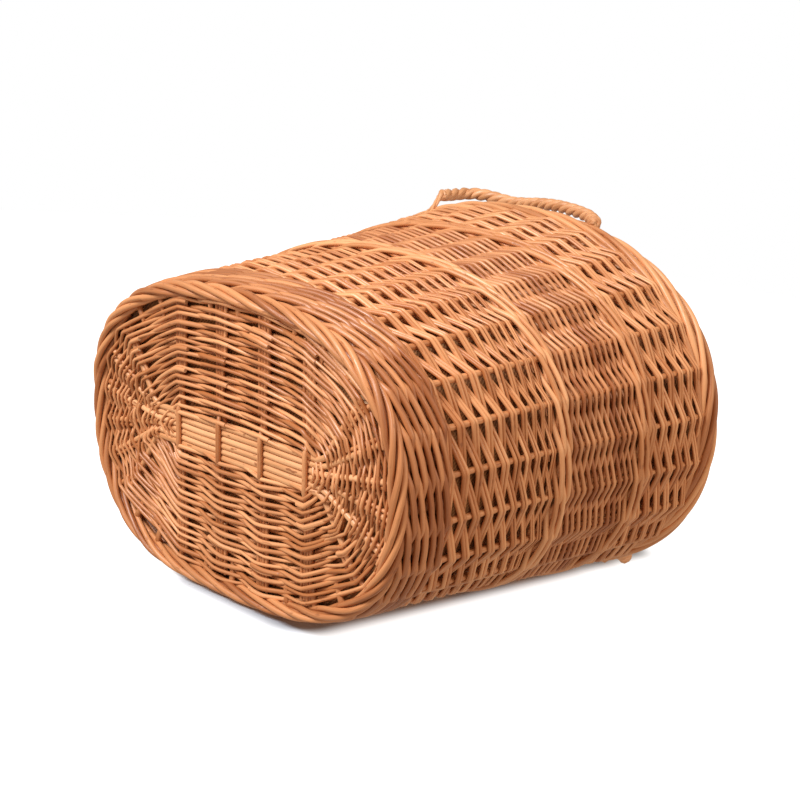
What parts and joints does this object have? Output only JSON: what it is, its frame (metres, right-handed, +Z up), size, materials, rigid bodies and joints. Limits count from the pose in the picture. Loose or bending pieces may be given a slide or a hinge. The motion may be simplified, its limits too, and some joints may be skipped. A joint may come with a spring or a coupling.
{
  "type": "knitting basket",
  "caption": "Tall oval willow basket with flared woven walls, two waling bands, a rolled border, a cloth lining and a rope-twisted bow handle on each broad side.",
  "frame": {"origin": "middle of the base, on the surface the basket stands on", "axes": "+Z up out of the opening, +X along the oval's long axis, +Y across it towards the broad side with handle_back"},
  "size_m": [0.399, 0.3024, 0.3655],
  "materials": {
    "stick": "buff willow, satin",
    "base": "buff willow, satin",
    "stake": "buff willow, satin",
    "siding": "buff willow, satin",
    "dark_siding": "buff willow, satin",
    "wale": "buff willow, satin",
    "handle": "buff willow, satin",
    "lining": "grey-brown ribbed cloth, matt"
  },
  "bodies": {
    "root": {"base_slat_1": "stick", "base_slat_2": "stick", "base_slat_3": "stick", "base_slat_4": "stick", "base_slat_5": "stick", "base_slat_6": "stick", "base_cross_stick_1": "stick", "base_cross_stick_2": "stick", "base_cross_stick_3": "stick", "base_cross_stick_4": "stick", "base_weave_under": "base", "base_weave_over": "base", "foot_wale": "wale", "upsett_wale": "wale", "stake_01": "stake", "stake_02": "stake", "stake_03": "stake", "stake_04": "stake", "stake_05": "stake", "stake_06": "stake", "stake_07": "stake", "stake_08": "stake", "stake_09": "stake", "stake_10": "stake", "stake_11": "stake", "stake_12": "stake", "stake_13": "stake", "stake_14": "stake", "stake_15": "stake", "stake_16": "stake", "stake_17": "stake", "stake_18": "stake", "stake_19": "stake", "stake_20": "stake", "stake_21": "stake", "stake_22": "stake", "stake_23": "stake", "stake_24": "stake", "stake_25": "stake", "stake_26": "stake", "stake_27": "stake", "stake_28": "stake", "stake_29": "stake", "stake_30": "stake", "lower_siding_1": "siding", "lower_siding_2": "siding", "lower_siding_3": "siding", "lower_siding_4": "siding", "lower_wale": "wale", "middle_siding_1": "dark_siding", "middle_siding_2": "dark_siding", "middle_siding_3": "dark_siding", "upper_wale": "wale", "upper_siding_1": "siding", "upper_siding_2": "siding", "upper_siding_3": "siding", "border": "wale", "handle_front": "handle", "handle_back": "handle", "lining": "lining"}
  },
  "joints": []
}
